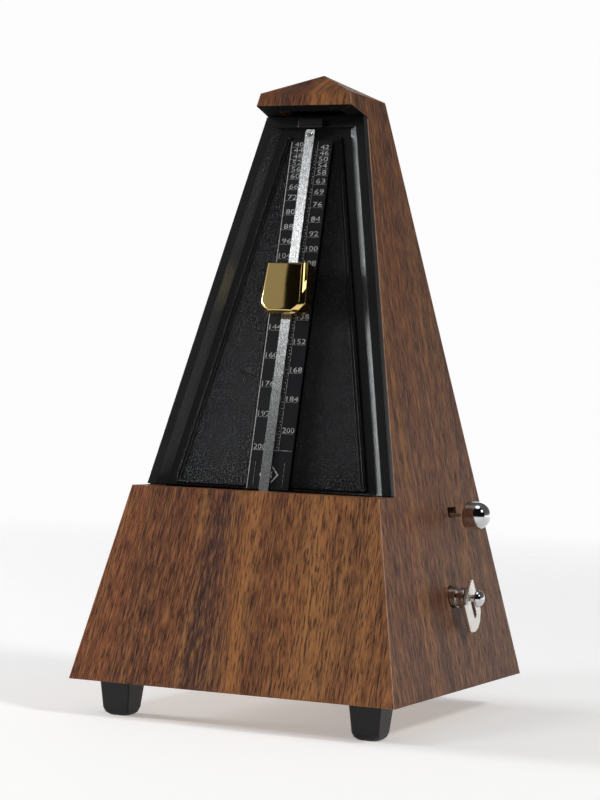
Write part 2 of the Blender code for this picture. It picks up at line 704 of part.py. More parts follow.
# ---- winding side: arbor, ratchet, click and mainspring --------------------
put("winding_arbor", turned("X", [(ARBOR, -24.2), (ARBOR, -21.0), (2.0, -21.0),
                                   (2.0, KEY_PLATE_X - 14.4)],
                            A, 20), STEEL, case, at=at_a, smooth=True)


def ratchet():
    teeth, pts = 18, []
    for k in range(teeth):
        a = 2 * math.pi * k / teeth
        pts += [(6.9, a), (7.9, a + 2 * math.pi / teeth * 0.88)]
    return toothed_wheel(pts, A, 11.6, 13.0, 2.15)


put("ratchet_wheel", ratchet(), STEEL, case, at=at_a)
click_c = (A[0] + 11.6 * math.cos(math.radians(-70)), A[1] + 11.6 * math.sin(math.radians(-70)))


def click_piece():
    """Pawl on the great wheel, its nose just clear of the ratchet's tips."""
    pts = []
    for r, a in ((11.6 + 1.7, -76), (11.6 + 1.7, -62), (10.0, -48), (8.5, -40), (8.3, -47),
                 (9.4, -60), (9.8, -76)):
        a = math.radians(a)
        pts.append((A[0] + r * math.cos(a), A[1] + r * math.sin(a)))
    return along_x(pts, 11.8, 12.9)


put("click", click_piece(), STEEL, case, at=(12.3, *click_c))
def spiral(r0, r1, turns, x0, x1, t):
    n = int(turns * 14)
    mid = [(r0 + (r1 - r0) * i / n, 2 * math.pi * turns * i / n) for i in range(n + 1)]
    inn = [(A[0] + (r - t / 2) * math.cos(a), A[1] + (r - t / 2) * math.sin(a)) for r, a in mid]
    out = [(A[0] + (r + t / 2) * math.cos(a), A[1] + (r + t / 2) * math.sin(a)) for r, a in mid]
    loops = [[(x0, *p), (x1, *p), (x1, *q), (x0, *q)] for p, q in zip(inn, out)]
    return stack(loops)


put("mainspring", spiral(2.7, 6.4, 4.5, -19.5, -8.5, 0.4), BLUED, case)

# ===========================================================================
# Winding key
# ===========================================================================
put("key_boss", turned("X", [(BOSS_R, KEY_PLATE_X - 14.1), (BOSS_R, KEY_PLATE_X - GAP)], A, 24), NICKEL,
    case, at=at_a, smooth=True)


def key_outline():
    """Fan-shaped thumb plate; its axis points down and back from the arbor."""
    ax, ay = math.cos(math.radians(-52)), math.sin(math.radians(-52))
    pts = []

    def arc(a, b, r, start, end, n=4):
        for i in range(n + 1):
            t = math.radians(start + (end - start) * i / n)
            pts.append((a + r * math.cos(t), b + r * math.sin(t)))
    arc(-0.4, -3.9, 1.6, 190, 270)
    arc(9.4, -3.5, 2.2, 275, 335)
    pts.extend([(12.9, -2.6), (13.6, 0.0), (12.9, 2.6)])
    arc(9.3, 3.1, 2.3, 25, 85)
    arc(-3.6, 4.0, 1.0, 92, 200)
    return [(WIND_Y + a * ax - b * ay, WIND_Z + a * ay + b * ax) for a, b in pts]


key_plate = put("key_plate", along_x(key_outline(), KEY_PLATE_X, KEY_PLATE_X + KEY_PLATE_T),
                NICKEL, case, at=at_a)


def key_slot():
    ax, ay = math.cos(math.radians(-52)), math.sin(math.radians(-52))
    pts = []
    for a, s in ((2.0, 90), (7.6, -90)):
        for i in range(7):
            t = math.radians(s + 180 * i / 6)
            pts.append((a + 1.25 * math.cos(t), 0.6 + 1.25 * math.sin(t)))
    pts = [(WIND_Y + a * ax - b * ay, WIND_Z + a * ay + b * ax) for a, b in pts]
    return along_x(pts, KEY_PLATE_X - 2, KEY_PLATE_X + 4)


cut(key_plate, put("key_slot_cutter", key_slot(), None, case, at=at_a, helper=True))
kp = KEY_PLATE_X + KEY_PLATE_T
dome = [(2.9 * math.cos(math.radians(t)), kp + 2.5 + 2.2 * math.sin(math.radians(t)))
        for t in (0, 22, 45, 68)]
put("key_cap", turned("X", [(1.15, kp + GAP), (1.15, kp + 1.7), (2.5, kp + 1.7),
                            (2.9, kp + 2.1)] + dome + [(0, kp + CAP_OUT)], A, 20),
    CHROME, case, at=at_a, smooth=True)

# ===========================================================================
# Bell selector
# ===========================================================================
sel = (0, SEL_Y, SEL_Z)
put("selector_rod", box(-9.0, KNOB_X - GAP, SEL_Y - 3.2, SEL_Y + 3.2, SEL_Z - 0.6, SEL_Z + 0.6),
    STEEL, case, at=sel)
knob_dome = [(KNOB_R * math.cos(math.radians(t)), KNOB_X + 4.0 + 4.5 * math.sin(math.radians(t)))
             for t in (0, 18, 36, 54, 72)]
put("selector_knob", turned("X", [(KNOB_R - 0.4, KNOB_X), (KNOB_R, KNOB_X + 0.4)] + knob_dome
                            + [(0, KNOB_X + 8.5)], (SEL_Y, SEL_Z), 24), CHROME, case,
    at=sel, smooth=True)
put("selector_finger", box(-8.8, -7.4, SEL_Y - 3.0, SEL_Y + 0.6, 52.4, SEL_Z - 0.6 - GAP),
    STEEL, case, at=sel)

# ===========================================================================
# Bell
# ===========================================================================
at_h = (0, *H)
put("hammer_arbor", turned("X", [(ARBOR, -24.2), (ARBOR, 24.2)], H, 14), STEEL, case, at=at_h)
hammer_arm = put("hammer_arm", along_x([
    (H[0] - 1.9, H[1] - 1.9), (H[0] + 1.9, H[1] - 1.9), (H[0] + 1.9, H[1] + 1.2),
    (H[0] - 0.9, H[1] + 17.4), (H[0] - 2.5, H[1] + 17.4), (H[0] - 1.6, H[1] + 2.6),
    (H[0] - 6.7, H[1] - 1.6), (H[0] - 6.7, H[1] - 3.0)], -15.4, -14.0), BRASS, case, at=at_h)
cut(hammer_arm, put("hammer_bore", turned("X", [(ARBOR + 0.12, -17), (ARBOR + 0.12, -12)], H, 14),
                    None, case, at=at_h, helper=True))
put("hammer_head", turned("Z", [
    (r, H[1] + z) for r, z in ((0, 17.7), (2.2, 17.7), (2.6, 18.4), (2.6, 22.0), (2.0, 22.8),
                               (0, 22.8))], (-14.7, H[0] - 1.7), 16), BRASS, case, at=at_h)
put("hammer_spring", leaf(-11.6, -9.6, [(29.6, H[1] - 16.0), (29.5, H[1] - 10.0),
                                         (29.1, H[1] - 5.0), (28.9, H[1] - 1.4)],
                          0.4), BLUED, case)
put("gong_bracket", box(-PLATE_X - PLATE_T, PLATE_X + PLATE_T, -4.0, 4.0,
                        PLATE_TOP + GAP, PLATE_TOP + 1.9), BRASS, case)
put("gong_post", turned("Z", [
    (r, GONG_Z + z) for r, z in ((2.2, -1.8), (2.2, 9.0), (1.3, 9.0), (1.3, 11.0), (3.0, 11.0),
                                 (3.0, 12.0), (2.2, 12.6), (0, 12.6))], (GONG_X, GONG_Y), 16),
    STEEL, case, at=(GONG_X, GONG_Y, GONG_Z))


def gong():
    out, inn = [], []
    for t in (0, 18, 36, 54, 72):
        a = math.radians(t)
        out.append((GONG_R * math.cos(a) ** 0.7, GONG_Z + 10.5 * math.sin(a)))
        inn.append(((GONG_R - 1.1) * math.cos(a) ** 0.7, GONG_Z + 9.4 * math.sin(a)))
    prof = out + [(1.6, GONG_Z + 10.6), (1.6, GONG_Z + 9.5)] + inn[::-1]
    return collar("Z", prof, (GONG_X, GONG_Y), 28)


put("gong", gong(), STEEL, case, at=(GONG_X, GONG_Y, GONG_Z), smooth=True)
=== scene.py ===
import math

import bmesh
import bpy
from mathutils import Matrix, Vector


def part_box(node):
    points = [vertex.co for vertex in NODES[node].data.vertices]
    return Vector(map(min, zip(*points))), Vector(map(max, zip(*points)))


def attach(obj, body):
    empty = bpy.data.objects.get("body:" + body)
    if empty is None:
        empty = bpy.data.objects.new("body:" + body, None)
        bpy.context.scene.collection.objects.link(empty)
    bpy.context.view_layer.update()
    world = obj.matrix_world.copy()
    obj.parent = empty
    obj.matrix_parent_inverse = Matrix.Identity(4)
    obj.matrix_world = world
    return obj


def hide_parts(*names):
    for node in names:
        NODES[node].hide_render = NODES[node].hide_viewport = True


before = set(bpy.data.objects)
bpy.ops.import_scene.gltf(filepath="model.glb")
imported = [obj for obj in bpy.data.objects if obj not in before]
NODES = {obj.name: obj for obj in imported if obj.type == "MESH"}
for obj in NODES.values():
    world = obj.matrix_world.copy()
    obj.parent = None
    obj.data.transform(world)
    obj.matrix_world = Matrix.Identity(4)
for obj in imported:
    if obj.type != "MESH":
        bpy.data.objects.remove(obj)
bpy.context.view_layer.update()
MM = 0.001
scene = bpy.context.scene

# ---------------------------------------------------------------------------
# The case's own frame, read from the CAD: front face leaning back, foot line
# ---------------------------------------------------------------------------
f_lo, f_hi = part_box("front_board")
_, r_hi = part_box("right_board")
l_lo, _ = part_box("left_board")
_, h_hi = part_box("front_header")
c_lo, c_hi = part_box("roof_cap")
OX = (l_lo.x + r_hi.x) / 2
OZ = f_lo.z
BASE_HW, BASE_HD = (r_hi.x - l_lo.x) / 2, -f_lo.y
GAP = 0.3 * MM                       # between parts that touch, as in the CAD
EAVE_Z = h_hi.z - OZ + GAP
EAVE_HW, EAVE_HD = (c_hi.x - c_lo.x) / 2, (c_hi.y - c_lo.y) / 2
KX, KY = (BASE_HW - EAVE_HW) / EAVE_Z, (BASE_HD - EAVE_HD) / EAVE_Z
TILT = math.atan(KY)
SF, CF = math.sin(TILT), math.cos(TILT)
RECESS = 10.06 * MM                  # scale face behind the front face, as in the CAD


def at_face(x, d, s):
    """Point on the sloping front: across, inward from the face, up the slope."""
    return Vector((OX + x, -BASE_HD + d * CF + s * SF, OZ - d * SF + s * CF))


def half_width(s, d=0.0):
    """Half the case's outer width at a place on the sloping front."""
    return BASE_HW - (s * CF - d * SF) * KX


OUTWARD = Vector((0, -CF, SF))       # out of the sloping front
UP_SLOPE = Vector((0, SF, CF))


# ---------------------------------------------------------------------------
# Mesh helpers
# ---------------------------------------------------------------------------
def piece(name, bm, body, mats, stands_for=(), smooth=35):
    """Makes a piece that rides a body, and hides the CAD nodes it stands for."""
    me = bpy.data.meshes.new(name)
    bmesh.ops.recalc_face_normals(bm, faces=bm.faces)
    for f in bm.faces:
        f.smooth = smooth is not None
    if smooth is not None:
        for e in bm.edges:
            if len(e.link_faces) == 2:
                e.smooth = e.calc_face_angle(0) < math.radians(smooth)
    bm.to_mesh(me)
    bm.free()
    for m in mats if isinstance(mats, (list, tuple)) else [mats]:
        me.materials.append(m)
    ob = bpy.data.objects.new(name, me)
    scene.collection.objects.link(ob)
    if smooth is not None:
        even = ob.modifiers.new("even_normals", "WEIGHTED_NORMAL")
        even.keep_sharp = True
        even.weight = 100
    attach(ob, body)
    if stands_for:
        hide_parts(*stands_for)
    return ob


def welded(node):
    """The CAD node's shape with its split corners joined and flat faces whole."""
    bm = bmesh.new()
    bm.from_mesh(NODES[node].data)
    bmesh.ops.remove_doubles(bm, verts=bm.verts, dist=2e-6)
    bmesh.ops.dissolve_limit(bm, angle_limit=math.radians(0.6), verts=bm.verts,
                             edges=bm.edges)
    return bm


def soften(bm, width, segments=2, least=22, edge_mat=-1, where=None):
    """Rounds the sharp edges of a shape."""
    edges = [e for e in bm.edges if len(e.link_faces) == 2
             and e.calc_face_angle(0) > math.radians(least)
             and (where is None or where(e))]
    if edges:
        bmesh.ops.bevel(bm, geom=edges, offset=width, offset_type="OFFSET",
                        segments=segments, profile=0.5, affect="EDGES",
                        clamp_overlap=True, material=edge_mat, harden_normals=False)


def rework(node, width, mats, body="case", segments=2, least=22, edge_mat=-1,
           where=None, smooth=35):
    """A CAD node's shape with rounded edges and its finish."""
    bm = welded(node)
    soften(bm, width, segments, least, edge_mat, where)
    return piece(node + "_finish", bm, body, mats, (node,), smooth)


def lathe(bm, axis, centre, profile, steps=64):
    """Turned shape: (radius, place along the axis) points about an axis."""
    axis = Vector(axis).normalized()
    u = axis.orthogonal().normalized()
    v = axis.cross(u)
    rows = []
    for r, t in profile:
        mid = Vector(centre) + axis * t
        if r < 1e-7:
            rows.append([bm.verts.new(mid)])
        else:
            rows.append([bm.verts.new(mid + u * r * math.cos(2 * math.pi * i / steps)
                                      + v * r * math.sin(2 * math.pi * i / steps))
                         for i in range(steps)])
    for a, b in zip(rows, rows[1:]):
        for i in range(steps):
            j = (i + 1) % steps
            if len(a) == 1 and len(b) == 1:
                continue
            if len(a) == 1:
                bm.faces.new((a[0], b[i], b[j]))
            elif len(b) == 1:
                bm.faces.new((a[i], a[j], b[0]))
            else:
                bm.faces.new((a[i], a[j], b[j], b[i]))
    if len(rows[0]) > 1:
        bm.faces.new(rows[0])
    if len(rows[-1]) > 1:
        bm.faces.new(rows[-1])
    return bm


def corner_arc(before, corner, after, k, steps):
    """Points that round a corner, from k before it to k after it."""
    s = corner + (before - corner).normalized() * k
    e = corner + (after - corner).normalized() * k
    out = []
    for i in range(steps + 1):
        t = i / steps
        out.append(tuple(s * (1 - t) ** 2 + corner * 2 * t * (1 - t) + e * t ** 2))
    return out


def rounded(profile, r, steps=4):
    """Open profile with its inner corners rounded by r, less where a side is short."""
    out = [profile[0]]
    for p, q, n in zip(profile, profile[1:], profile[2:]):
        a, b, c = Vector(p), Vector(q), Vector(n)
        k = min(r, (a - b).length * 0.45, (c - b).length * 0.45)
        out += corner_arc(a, b, c, k, steps)
    out.append(profile[-1])
    return out


def round_corners(pts, radii, steps=5):
    """Closed outline with each corner rounded by its own radius."""
    out = []
    for i, (p, r) in enumerate(zip(pts, radii)):
        out += corner_arc(Vector(pts[i - 1]), Vector(p), Vector(pts[(i + 1) % len(pts)]), r, steps)
    return out


def bar(bm, rows):
    """Closed loft through loops of equal length, with end caps."""
    vs = [[bm.verts.new(p) for p in row] for row in rows]
    n = len(vs[0])
    for a, b in zip(vs, vs[1:]):
        for i in range(n):
            j = (i + 1) % n
            bm.faces.new((a[i], a[j], b[j], b[i]))
    bm.faces.new(vs[0])
    bm.faces.new(vs[-1])
    return bm


# ---------------------------------------------------------------------------
# Shader helpers
# ---------------------------------------------------------------------------
class Nodes:
    """Short calls that add shader nodes to a tree."""
    def __init__(self, tree):
        self.t = tree

    def put(self, node, index, value):
        if isinstance(value, bpy.types.NodeSocket):
            self.t.links.new(value, node.inputs[index])
        elif value is not None:
            node.inputs[index].default_value = value

    def place(self):
        return self.t.nodes.new("ShaderNodeTexCoord").outputs["Object"]

    def scaled(self, vec, scale):
        n = self.t.nodes.new("ShaderNodeMapping")
        self.t.links.new(vec, n.inputs["Vector"])
        n.inputs["Scale"].default_value = scale
        return n.outputs[0]

    def noise(self, vec, scale, detail=2.0, rough=0.5):
        n = self.t.nodes.new("ShaderNodeTexNoise")
        self.t.links.new(vec, n.inputs["Vector"])
        n.inputs["Scale"].default_value = scale
        n.inputs["Detail"].default_value = detail
        n.inputs["Roughness"].default_value = rough
        return n.outputs["Fac"]

    def cells(self, vec, scale):
        n = self.t.nodes.new("ShaderNodeTexVoronoi")
        self.t.links.new(vec, n.inputs["Vector"])
        n.inputs["Scale"].default_value = scale
        return n.outputs["Distance"]

    def math(self, op, a, b=None):
        n = self.t.nodes.new("ShaderNodeMath")
        n.operation = op
        self.put(n, 0, a)
        self.put(n, 1, b)
        return n.outputs[0]

    def span(self, x, a, b, lo=0.0, hi=1.0):
        n = self.t.nodes.new("ShaderNodeMapRange")
        self.put(n, 0, x)
        for i, v in enumerate((a, b, lo, hi)):
            n.inputs[1 + i].default_value = v
        return n.outputs[0]

    def ramp(self, x, stops):
        n = self.t.nodes.new("ShaderNodeValToRGB")
        self.put(n, 0, x)
        cr = n.color_ramp
        while len(cr.elements) < len(stops):
            cr.elements.new(0.5)
        for el, (p, c) in zip(cr.elements, stops):
            el.position = p
            el.color = (*c, 1) if isinstance(c, tuple) else (c, c, c, 1)
        return n.outputs[0]

    def blend(self, x, a, b):
        n = self.t.nodes.new("ShaderNodeMix")
        n.data_type = "RGBA"
        self.put(n, 0, x)
        for i, v in ((6, a), (7, b)):
            self.put(n, i, (*v, 1) if isinstance(v, tuple) and len(v) == 3 else v)
        return n.outputs[2]

    def choose(self, x, a, b):
        n = self.t.nodes.new("ShaderNodeMix")
        n.data_type = "FLOAT"
        self.put(n, 0, x)
        self.put(n, 2, a)
        self.put(n, 3, b)
        return n.outputs[0]

    def join(self, x, y, z):
        n = self.t.nodes.new("ShaderNodeCombineXYZ")
        for i, v in enumerate((x, y, z)):
            self.put(n, i, v)
        return n.outputs[0]

    def split(self, vec):
        n = self.t.nodes.new("ShaderNodeSeparateXYZ")
        self.t.links.new(vec, n.inputs[0])
        return n.outputs

    def normal(self):
        return self.t.nodes.new("ShaderNodeNewGeometry").outputs["True Normal"]

    def bump(self, height, strength, distance):
        n = self.t.nodes.new("ShaderNodeBump")
        n.inputs["Strength"].default_value = strength
        n.inputs["Distance"].default_value = distance
        self.t.links.new(height, n.inputs["Height"])
        return n.outputs[0]

    def along(self, direction):
        """How far a world's ray goes along a direction, from -1 to 1."""
        n = self.t.nodes.new("ShaderNodeVectorMath")
        n.operation = "DOT_PRODUCT"
        ray = self.t.nodes.new("ShaderNodeTexCoord").outputs["Generated"]
        self.t.links.new(ray, n.inputs[0])
        n.inputs[1].default_value = direction
        return n.outputs["Value"]

    def steps(self, x, stops):
        """Straight lines through the stops, as a curve of x."""
        n = self.t.nodes.new("ShaderNodeFloatCurve")
        c = n.mapping.curves[0]
        c.points[0].location = stops[0]
        c.points[1].location = stops[-1]
        for p in stops[1:-1]:
            c.points.new(*p)
        for p in c.points:
            p.handle_type = "VECTOR"
        n.mapping.extend = "HORIZONTAL"
        n.mapping.use_clip = False
        n.mapping.update()
        self.t.links.new(x, n.inputs["Value"])
        return n.outputs[0]


class Mat(Nodes):
    """A material and its Principled shader."""
    def __init__(self, name, **settings):
        self.m = bpy.data.materials.new(name)
        self.m.use_nodes = True
        super().__init__(self.m.node_tree)
        self.b = self.t.nodes["Principled BSDF"]
        self.set(**settings)

    def set(self, **settings):
        for key, value in settings.items():
            name = key.replace("_", " ")
            sock = self.b.inputs[name]
            if isinstance(value, bpy.types.NodeSocket):
                self.t.links.new(value, sock)
            elif isinstance(value, tuple) and len(value) == 3 and sock.type == "RGBA":
                sock.default_value = (*value, 1)
            else:
                sock.default_value = value


# ---------------------------------------------------------------------------
# Wood foil: broad toned bands, streaks, fibres and short dark pores, up each face
# ---------------------------------------------------------------------------
HALF_FACE = 58 * MM


def wood_material(name, seed, bands, fan, flecks, contrast=1.0):
    """bands are tones across the face, from one side to the other; fan leans the grain on
    the left inwards, as the tapering side does; flecks is the level that patches of pores
    have to pass."""
    w = Mat(name)
    x, y, z = w.split(w.place())
    nx, ny, _ = w.split(w.normal())
    on_side = w.math("GREATER_THAN", w.math("ABSOLUTE", nx), w.math("ABSOLUTE", ny))
    across = w.choose(on_side, w.math("SUBTRACT", x, OX), y)
    up = w.math("SUBTRACT", z, OZ)
    if fan:
        lean = w.span(across, -0.060, 0.0, 0.19, 0.025)
        across = w.math("SUBTRACT", across, w.math("MULTIPLY", lean, up))

    def fibre_noise(scale, stretch, offset, detail=2.0, rough=0.55, on=None):
        return w.noise(w.join(on or across, w.math("MULTIPLY", up, stretch), seed + offset),
                       scale, detail, rough)

    wander = w.math("SUBTRACT", fibre_noise(55, 0.12, 0.0), 0.5)
    u = w.math("ADD", across, w.math("MULTIPLY", wander, 0.009))
    tone = w.ramp(w.span(u, -HALF_FACE, HALF_FACE), bands)
    # dark and light streaks a few millimetres wide
    dark_streak = fibre_noise(260, 0.05, 3.1, 3, 0.6, u)
    tone = w.blend(w.span(dark_streak, 0.50, 0.70, 0.0, 0.70 * contrast), tone,
                   (0.052, 0.024, 0.018))
    light_streak = fibre_noise(300, 0.04, 7.7, 3, 0.55, u)
    tone = w.blend(w.span(light_streak, 0.52, 0.72, 0.0, 0.62 * contrast), tone,
                   (0.36, 0.165, 0.062))
    red = fibre_noise(120, 0.10, 11.3, 2, 0.5, u)
    tone = w.blend(w.span(red, 0.50, 0.70, 0.0, 0.40), tone, (0.19, 0.055, 0.028))
    # fine fibres
    fine = fibre_noise(1900, 0.08, 1.3, 3, 0.72, u)
    tone = w.blend(w.span(fine, 0.50, 0.61, 0.0, 0.80 * contrast), tone, (0.030, 0.012, 0.009))
    tone = w.blend(w.span(fine, 0.47, 0.38, 0.0, 0.50), tone, (0.42, 0.18, 0.066))
    # short dark pores, in patches
    pore = w.cells(w.join(u, w.math("MULTIPLY", up, 0.17), seed + 5.0), 1150)
    patch = fibre_noise(38, 0.4, 9.0)
    pores = w.math("MULTIPLY", w.span(pore, 0.30, 0.14), w.span(patch, flecks, flecks + 0.12))
    tone = w.blend(w.math("MULTIPLY", pores, 0.85), tone, (0.020, 0.010, 0.008))
    height = w.math("SUBTRACT", w.math("MULTIPLY", fine, -0.6), pores)
    w.set(Base_Color=tone, Specular_IOR_Level=0.14,
          Roughness=w.span(fine, 0.3, 0.7, 0.40, 0.52),
          Normal=w.bump(height, 0.20, 0.00010))
    return w.m


FRONT_TONES = [(0.00, (0.170, 0.062, 0.030)), (0.09, (0.225, 0.085, 0.038)),
               (0.20, (0.120, 0.046, 0.026)), (0.29, (0.215, 0.078, 0.034)),
               (0.37, (0.085, 0.040, 0.030)), (0.44, (0.110, 0.048, 0.032)),
               (0.50, (0.350, 0.142, 0.048)), (0.57, (0.150, 0.058, 0.028)),
               (0.66, (0.240, 0.098, 0.038)), (0.74, (0.300, 0.130, 0.048)),
               (0.82, (0.200, 0.085, 0.038)), (0.90, (0.290, 0.120, 0.046)),
               (1.00, (0.240, 0.100, 0.044))]
SIDE_TONES = [(0.00, (0.150, 0.066, 0.036)), (0.08, (0.205, 0.085, 0.036)),
              (0.15, (0.120, 0.048, 0.028)), (0.26, (0.150, 0.062, 0.032)),
              (0.34, (0.230, 0.100, 0.038)), (0.42, (0.100, 0.044, 0.028)),
              (0.50, (0.160, 0.070, 0.034)), (0.58, (0.120, 0.054, 0.034)),
              (0.70, (0.175, 0.082, 0.040)), (0.84, (0.120, 0.058, 0.038)),
              (1.00, (0.160, 0.078, 0.042))]
wood_front = wood_material("wood_front", 0.37, FRONT_TONES, True, 0.42)
wood_side = wood_material("wood_side", 4.91, SIDE_TONES, False, 0.52, 1.2)

# pale edge wood: partly the foil's edge, partly a painted highlight along corners and the frame
edge = Mat("wood_edge_and_painted_highlight", Roughness=0.42, Coat_Weight=0.2, Coat_Roughness=0.3)
edge_grain = edge.noise(edge.scaled(edge.place(), (1, 1, 0.2)), 900, 3, 0.6)
edge.set(Base_Color=edge.ramp(edge_grain, [(0.3, (0.30, 0.15, 0.09)),
                                           (0.7, (0.52, 0.31, 0.21))]),
         Normal=edge.bump(edge_grain, 0.2, 0.0001))
wood_edge_and_painted_highlight = edge.m

board = Mat("base_wood", Roughness=0.7)
board_grain = board.noise(board.scaled(board.place(), (1, 0.06, 1)), 700, 4, 0.6)
board.set(Base_Color=board.ramp(board_grain, [(0.3, (0.20, 0.115, 0.06)),
                                              (0.7, (0.36, 0.23, 0.13))]),
          Normal=board.bump(board_grain, 0.3, 0.0002))
base_wood = board.m


# ---------------------------------------------------------------------------
# Black plastics
# ---------------------------------------------------------------------------
def plastic(name, colour, rough, grain=0.0, size=1500, depth=0.0002, gloss=0.5):
    p = Mat(name)
    v = p.place()
    cell = p.cells(v, size)
    fine = p.noise(v, size * 1.3, 2, 0.6)
    broad = p.noise(v, 60, 3, 0.55)
    base = p.blend(p.span(broad, 0.3, 0.7), tuple(c * 0.8 for c in colour),
                   tuple(c * 1.25 for c in colour))
    if grain > 0.5:
        speck = p.noise(v, size * 0.75, 3, 0.7)
        base = p.blend(p.span(speck, 0.54, 0.66), base, (0.020, 0.021, 0.023))
    p.set(Base_Color=base,
          Roughness=p.span(broad, 0.3, 0.7, rough - 0.05, rough + 0.06),
          Specular_IOR_Level=gloss)
    h = p.math("ADD", p.math("MULTIPLY", cell, 0.5), p.math("MULTIPLY", fine, 1.0))
    p.set(Normal=p.bump(h, grain, depth))
    return p.m


grained = plastic("grained_black", (0.0045, 0.0045, 0.0055), 0.26, 1.0, 2100, 0.00026, 0.13)
slope_grain = plastic("slope_grain", (0.008, 0.0085, 0.0095), 0.34, 0.9, 2100, 0.00022, 0.9)
black = plastic("black_plastic", (0.0035, 0.0038, 0.0045), 0.36, 0.10, 1200, 0.0001, 0.32)
strip_black = plastic("number_strip_black", (0.0045, 0.0050, 0.0065), 0.42, 0.12, 2500, 0.0001, 0.34)
rubber = plastic("foot_rubber", (0.005, 0.005, 0.0055), 0.42, 0.12, 1500, 0.0001, 0.32)

ink = Mat("number_ink_and_edge_highlight", Roughness=0.45)
ink_grain = ink.noise(ink.place(), 1600, 3, 0.6)
ink.set(Base_Color=ink.ramp(ink_grain, [(0.35, (0.16, 0.165, 0.17)),
                                        (0.62, (0.62, 0.62, 0.60))]),
        Normal=ink.bump(ink_grain, 0.2, 0.0001))
ink_and_edge_highlight = ink.m


# ---------------------------------------------------------------------------
# Metals
# ---------------------------------------------------------------------------
def metal(name, colour, rough, brush=(1, 1, 0.02), marks=0.05, fine=1800, depth=0.00003,
          tint=0.85, spread=0.06):
    p = Mat(name, Metallic=1.0)
    v = p.place()
    line = p.noise(p.scaled(v, brush), fine, 3, 0.65)
    blot = p.noise(v, 180, 3, 0.6)
    p.set(Base_Color=p.blend(p.span(blot, 0.3, 0.75), colour,
                             tuple(c * tint for c in colour)),
          Roughness=p.math("ADD", p.span(line, 0.3, 0.7, rough - spread / 2,
                                         rough + spread / 2),
                           p.span(blot, 0.35, 0.7, 0.0, spread / 2)),
          Normal=p.bump(line, marks, depth))
    return p.m


gold = metal("gold", (0.82, 0.59, 0.23), 0.016, (1, 1, 1), 0.010, 260, 0.00001, 0.97, 0.008)
chrome = metal("chrome", (0.64, 0.64, 0.65), 0.045, (1, 1, 1), 0.02, 300, 0.00001, 0.96, 0.02)
nickel = metal("nickel", (0.70, 0.67, 0.62), 0.30, (0.05, 1, 1), 0.10, 1500, 0.00003, 0.88, 0.10)
rod_steel = metal("rod_steel", (0.70, 0.71, 0.72), 0.055, (1, 1, 0.02), 0.60, 2400, 0.00004,
                  0.86, 0.03)
steel = metal("steel", (0.56, 0.56, 0.55), 0.32, (1, 1, 0.1))
blued = metal("blued_steel", (0.10, 0.13, 0.24), 0.30, (1, 1, 0.1))
brass = metal("brass", (0.72, 0.52, 0.20), 0.30, (0.1, 1, 1))
iron = metal("iron", (0.30, 0.30, 0.31), 0.55, (1, 1, 1), 0.25, 900, 0.0001)
gong_steel = metal("gong_steel", (0.60, 0.60, 0.58), 0.24, (1, 1, 0.2))

dark = Mat("shadow_black", Roughness=0.8, Specular_IOR_Level=0.05)
dark_grain = dark.noise(dark.place(), 500, 2, 0.5)
dark.set(Base_Color=dark.ramp(dark_grain, [(0.3, (0.002, 0.002, 0.002)),
                                           (0.7, (0.006, 0.006, 0.006))]))

# ---------------------------------------------------------------------------
# CAD nodes that stay as they are get their finish
# ---------------------------------------------------------------------------
BY_SLOT = {"wood": wood_side, "base_wood": base_wood, "foot_rubber": rubber,
           "black_plastic": black, "grained_black": grained, "number_strip": strip_black,
           "rod_steel": rod_steel, "steel": steel, "blued_steel": blued,
           "gong_steel": gong_steel, "iron": iron, "gold": gold, "brass": brass,
           "nickel": nickel, "chrome": chrome}
for name, ob in NODES.items():
    for s in ob.material_slots:
        s.material = BY_SLOT[s.material.name.split(".")[0]]

# ---------------------------------------------------------------------------
# Case
# ---------------------------------------------------------------------------
UNDER = -0.25                        # a face whose normal's z is below this looks down


def rim_edge(e):
    """An edge of a side board along the black frame."""
    m = (e.verts[0].co + e.verts[1].co) / 2
    d = (m.y + BASE_HD) * CF - (m.z - OZ) * SF
    return e.calc_length() > 0.08 and 9 * MM < d < 14 * MM and \
        abs(abs(m.x - OX) - (BASE_HW - (m.z - OZ) * KX)) < 0.3 * MM


for node in ("front_board", "back_board"):
    rework(node, 0.18 * MM, wood_front)
bm = welded("front_header")
soften(bm, 0.18 * MM)
# the header's downward faces get shadow_black: painted shade under the eave
for f in bm.faces:
    f.material_index = 1 if f.normal.z < UNDER else 0
piece("front_header_finish", bm, "case", [wood_front, dark.m], ("front_header",))
for node in ("left_board", "right_board"):
    bm = welded(node)
    # bevels along the frame take the pale edge wood, partly a painted highlight
    soften(bm, 0.30 * MM, 2, 22, 1, rim_edge)
    soften(bm, 0.16 * MM, 2, 30, -1, lambda e: all(f.material_index != 1 for f in e.link_faces)
           and e.calc_length() > 1.5 * MM)
    # downward faces at the boards' upper ends get shadow_black: painted shade under the eave
    for f in bm.faces:
        if f.normal.z < UNDER and f.calc_center_median().z > OZ + 150 * MM:
            f.material_index = 2
    piece(node + "_finish", bm, "case", [wood_side, wood_edge_and_painted_highlight, dark.m], (node,))
rework("roof_cap", 0.22 * MM, wood_front, least=12)
rework("base_board", 0.4 * MM, base_wood, least=40)


FOIL_SECTION = ((0.40, 0.0), (0.13, 0.03), (0.03, 0.13), (0.0, 0.40), (1.3, 1.6), (1.6, 1.3))
SEAM_END = 0.2 * MM


def corner_line(name, sx, sy, z0, z1):
    """Pale rounded foil line in the seam of two mitred boards; its pale colour is partly a painted
    highlight.
    """
    rows = []
    for z in (z0, z1):
        row = []
        for a, b in FOIL_SECTION:
            row.append(Vector((OX + sx * (BASE_HW - z * KX - a * MM),
                               sy * (BASE_HD - z * KY - b * MM), OZ + z)))
        rows.append(row)
    piece(name, bar(bmesh.new(), rows), "case", wood_edge_and_painted_highlight)


ledge = f_hi.z - OZ
